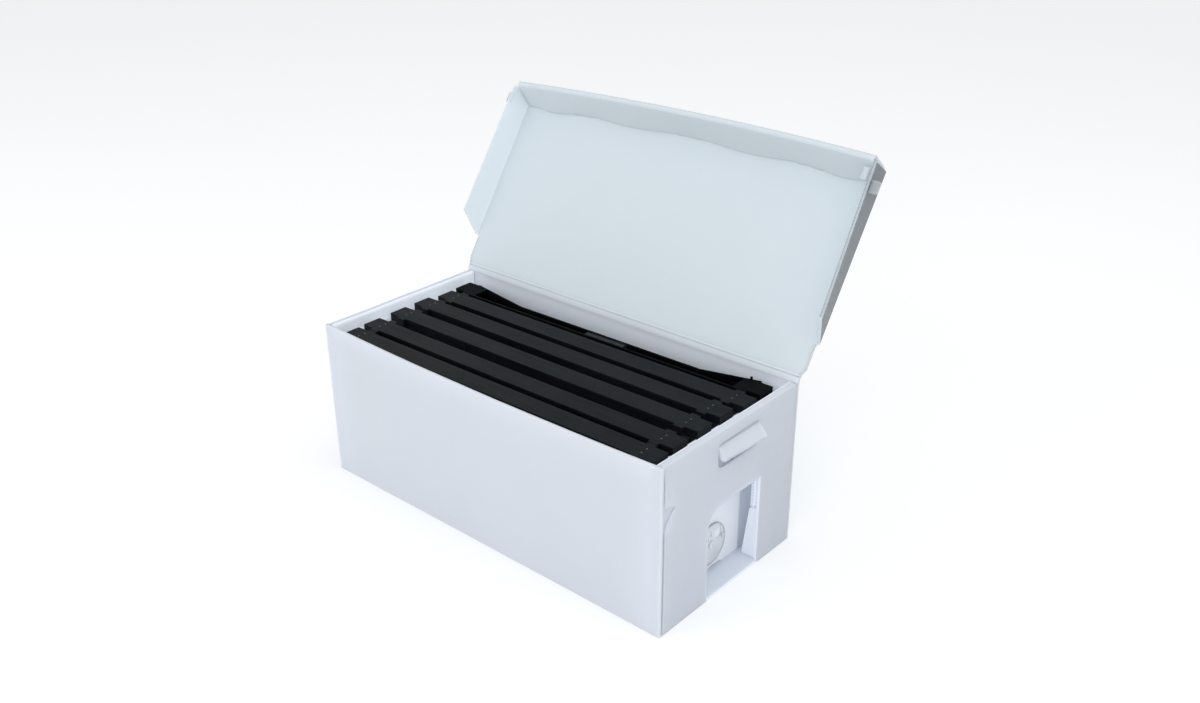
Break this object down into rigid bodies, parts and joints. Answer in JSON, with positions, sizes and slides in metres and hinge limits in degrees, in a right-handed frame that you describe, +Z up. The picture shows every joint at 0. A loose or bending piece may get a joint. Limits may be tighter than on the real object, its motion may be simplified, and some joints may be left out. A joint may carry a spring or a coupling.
{
  "type": "nucleus hive box",
  "caption": "Folding beehive box of white twin-wall board, its lid open on a long crease, holding black comb frames and a frame feeder, with a porch and entrance disc in one end",
  "frame": {"origin": "centre of the box's base", "axes": "+X points to the end with the entrance, along the length; +Y points to the lid's hinge side; +Z up"},
  "size_m": [0.572, 0.3872, 0.4422],
  "materials": {
    "box_board": "satin",
    "lid_board": "satin",
    "disc_plastic": "gloss",
    "rivet_plastic": "gloss",
    "frame_plastic": "satin",
    "foundation_plastic": "matte",
    "feeder_plastic": "satin",
    "pin_steel": "satin"
  },
  "bodies": {
    "box": {"floor_panel": "box_board", "front_wall": "box_board", "back_wall": "box_board", "lid_crease": "box_board", "end_wall_entrance": "box_board", "end_wall_far": "box_board", "rim_band_entrance": "box_board", "rim_band_far": "box_board", "rim_return_entrance": "box_board", "rim_return_far": "box_board", "frame_rest_entrance": "box_board", "frame_rest_far": "box_board", "inner_wall_entrance": "box_board", "inner_wall_far": "box_board", "tuck_front_entrance": "box_board", "tuck_front_far": "box_board", "tuck_back_entrance": "box_board", "tuck_back_far": "box_board", "porch_flap_front": "box_board", "porch_flap_back": "box_board", "disc_rivet": "rivet_plastic"},
    "grip_entrance": {"grip_flap_entrance": "box_board"},
    "grip_far": {"grip_flap_far": "box_board"},
    "disc": {"entrance_disc": "disc_plastic"},
    "lid": {"lid_panel": "lid_board", "lid_ear_entrance": "lid_board", "lid_ear_far": "lid_board", "apron_outer": "lid_board", "apron_band": "lid_board", "apron_return": "lid_board", "apron_tabs": "lid_board"},
    "frame_1": {"top_bar_1": "frame_plastic", "end_bars_1": "frame_plastic", "bottom_bar_1": "frame_plastic", "foundation_1": "foundation_plastic", "pins_1": "pin_steel"},
    "frame_2": {"top_bar_2": "frame_plastic", "end_bars_2": "frame_plastic", "bottom_bar_2": "frame_plastic", "foundation_2": "foundation_plastic", "pins_2": "pin_steel"},
    "frame_3": {"top_bar_3": "frame_plastic", "end_bars_3": "frame_plastic", "bottom_bar_3": "frame_plastic", "foundation_3": "foundation_plastic", "pins_3": "pin_steel"},
    "frame_4": {"top_bar_4": "frame_plastic", "end_bars_4": "frame_plastic", "bottom_bar_4": "frame_plastic", "foundation_4": "foundation_plastic", "pins_4": "pin_steel"},
    "frame_5": {"top_bar_5": "frame_plastic", "end_bars_5": "frame_plastic", "bottom_bar_5": "frame_plastic", "foundation_5": "foundation_plastic", "pins_5": "pin_steel"},
    "feeder": {"feeder_body": "feeder_plastic", "feeder_brace": "feeder_plastic"}
  },
  "joints": [
    {"name": "lid_hinge", "type": "hinge", "parent": "box", "child": "lid", "pos_m": [0, 0.122, 0.208], "axis": [-1, 0, 0], "range_deg": [-124, 106]},
    {"name": "grip_entrance_fold", "type": "hinge", "parent": "box", "child": "grip_entrance", "pos_m": [0.26325, 0.009, 0.1866], "axis": [0, -1, 0], "range_deg": [-62, 60]},
    {"name": "grip_far_fold", "type": "hinge", "parent": "box", "child": "grip_far", "pos_m": [-0.26325, 0.009, 0.1866], "axis": [0, 1, 0], "range_deg": [-62, 60]},
    {"name": "disc_turn", "type": "hinge", "parent": "box", "child": "disc", "pos_m": [0.2361, 0.0055, 0.038], "axis": [1, 0, 0], "continuous": true},
    {"name": "frame_1_lift", "type": "slide", "parent": "box", "child": "frame_1", "axis": [0, 0, 1], "range_m": [0, 0.2]},
    {"name": "frame_2_lift", "type": "slide", "parent": "box", "child": "frame_2", "axis": [0, 0, 1], "range_m": [0, 0.2]},
    {"name": "frame_3_lift", "type": "slide", "parent": "box", "child": "frame_3", "axis": [0, 0, 1], "range_m": [0, 0.2]},
    {"name": "frame_4_lift", "type": "slide", "parent": "box", "child": "frame_4", "axis": [0, 0, 1], "range_m": [0, 0.2]},
    {"name": "frame_5_lift", "type": "slide", "parent": "box", "child": "frame_5", "axis": [0, 0, 1], "range_m": [0, 0.2]},
    {"name": "feeder_lift", "type": "slide", "parent": "box", "child": "feeder", "axis": [0, 0, 1], "range_m": [0, 0.2]}
  ]
}
